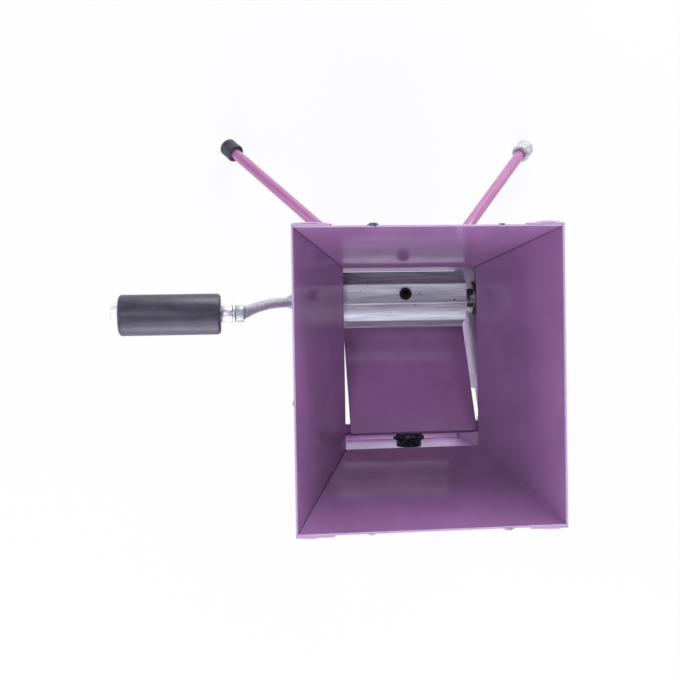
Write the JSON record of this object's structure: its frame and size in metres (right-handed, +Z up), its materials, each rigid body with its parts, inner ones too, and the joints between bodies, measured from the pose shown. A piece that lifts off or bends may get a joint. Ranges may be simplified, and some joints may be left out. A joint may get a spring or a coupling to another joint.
{
  "type": "nut cracking machine",
  "caption": "Hand-cranked nut cracking machine with a sheet-metal hopper, fluted roller, hinged jaw plate with a screw adjuster, and splayed rod legs.",
  "frame": {"origin": "on the floor, straight under the middle of the hopper's mouth", "axes": "+X from the crank's side to the free end of the shaft, +Y from the jaw's hinge towards the roller, +Z up"},
  "size_m": [0.3881, 0.3761, 0.2756],
  "materials": {
    "purple_powder_coat": "gloss powder coat",
    "fluted_aluminium": "machined, dull, pitted",
    "bright_steel": "turned bright",
    "zinc_plated_steel": "bright zinc plate",
    "worn_zinc_crank": "dull grey zinc, scratched",
    "black_oxide_screws": "black oxide",
    "black_plastic_grip": "matt with a soft sheen",
    "black_plastic_knob": "matt, ribbed",
    "sintered_bronze": "dull bronze",
    "brass_insert": "turned",
    "black_rubber": "moulded"
  },
  "bodies": {
    "frame": {"hopper_front_panel": "purple_powder_coat", "hopper_rear_panel": "purple_powder_coat", "hopper_left_panel": "purple_powder_coat", "hopper_right_panel": "purple_powder_coat", "body_left_side": "purple_powder_coat", "body_right_side": "purple_powder_coat", "body_front_wall": "purple_powder_coat", "body_rear_wall": "purple_powder_coat", "left_bearing_boss": "purple_powder_coat", "right_bearing_boss": "purple_powder_coat", "left_bush": "sintered_bronze", "right_bush": "sintered_bronze", "hinge_rod": "bright_steel", "left_jaw_spacer": "purple_powder_coat", "right_jaw_spacer": "purple_powder_coat", "hinge_rod_washers": "zinc_plated_steel", "hinge_rod_nuts": "zinc_plated_steel", "adjuster_bolt": "zinc_plated_steel", "rear_left_leg": "purple_powder_coat", "rear_right_leg": "purple_powder_coat", "front_left_leg": "purple_powder_coat", "front_right_leg": "purple_powder_coat", "leg_sockets": "purple_powder_coat", "leg_lock_nuts": "zinc_plated_steel", "rear_left_foot": "black_rubber", "rear_right_foot": "black_rubber", "front_left_foot": "black_rubber", "front_right_foot": "black_rubber"},
    "crank": {"roller": "fluted_aluminium", "roller_set_screw": "black_oxide_screws", "roller_shaft": "bright_steel", "shaft_collar": "zinc_plated_steel", "collar_set_screw": "black_oxide_screws", "crank_arm": "worn_zinc_crank", "crank_set_screw": "black_oxide_screws", "grip_bolt": "zinc_plated_steel", "grip_spacer": "zinc_plated_steel", "grip_washer": "zinc_plated_steel"},
    "grip": {"crank_grip": "black_plastic_grip"},
    "jaw": {"jaw_plate": "purple_powder_coat", "jaw_hinge_tube": "purple_powder_coat", "jaw_lever": "purple_powder_coat"},
    "adjuster_slide": {"thrust_button": "bright_steel"},
    "knob": {"adjuster_knob": "black_plastic_knob", "knob_insert": "brass_insert"}
  },
  "joints": [
    {"name": "crank_turn", "type": "hinge", "parent": "frame", "child": "crank", "pos_m": [0, 0.06, 0.149], "axis": [1, 0, 0], "continuous": true},
    {"name": "grip_spin", "type": "hinge", "parent": "crank", "child": "grip", "pos_m": [-0.19, 0.04957, 0.24996], "axis": [1, 0, 0], "continuous": true},
    {"name": "jaw_swing", "type": "hinge", "parent": "frame", "child": "jaw", "pos_m": [0, -0.0485, 0.1655], "axis": [1, 0, 0], "range_deg": [-5.52, 1.85]},
    {"name": "knob_travel", "type": "slide", "parent": "frame", "child": "adjuster_slide", "axis": [0, 1, 0], "range_m": [-0.00188, 0.00063]},
    {"name": "knob_turn", "type": "hinge", "parent": "adjuster_slide", "child": "knob", "pos_m": [0.003, -0.057, 0.146], "axis": [0, 1, 0], "range_deg": [-540, 180]}
  ],
  "couplings": [
    {"joint": "knob_travel", "follows": "knob_turn", "m_per_rad": 0.00019894},
    {"joint": "jaw_swing", "follows": "knob_turn", "ratio": 0.010202}
  ]
}
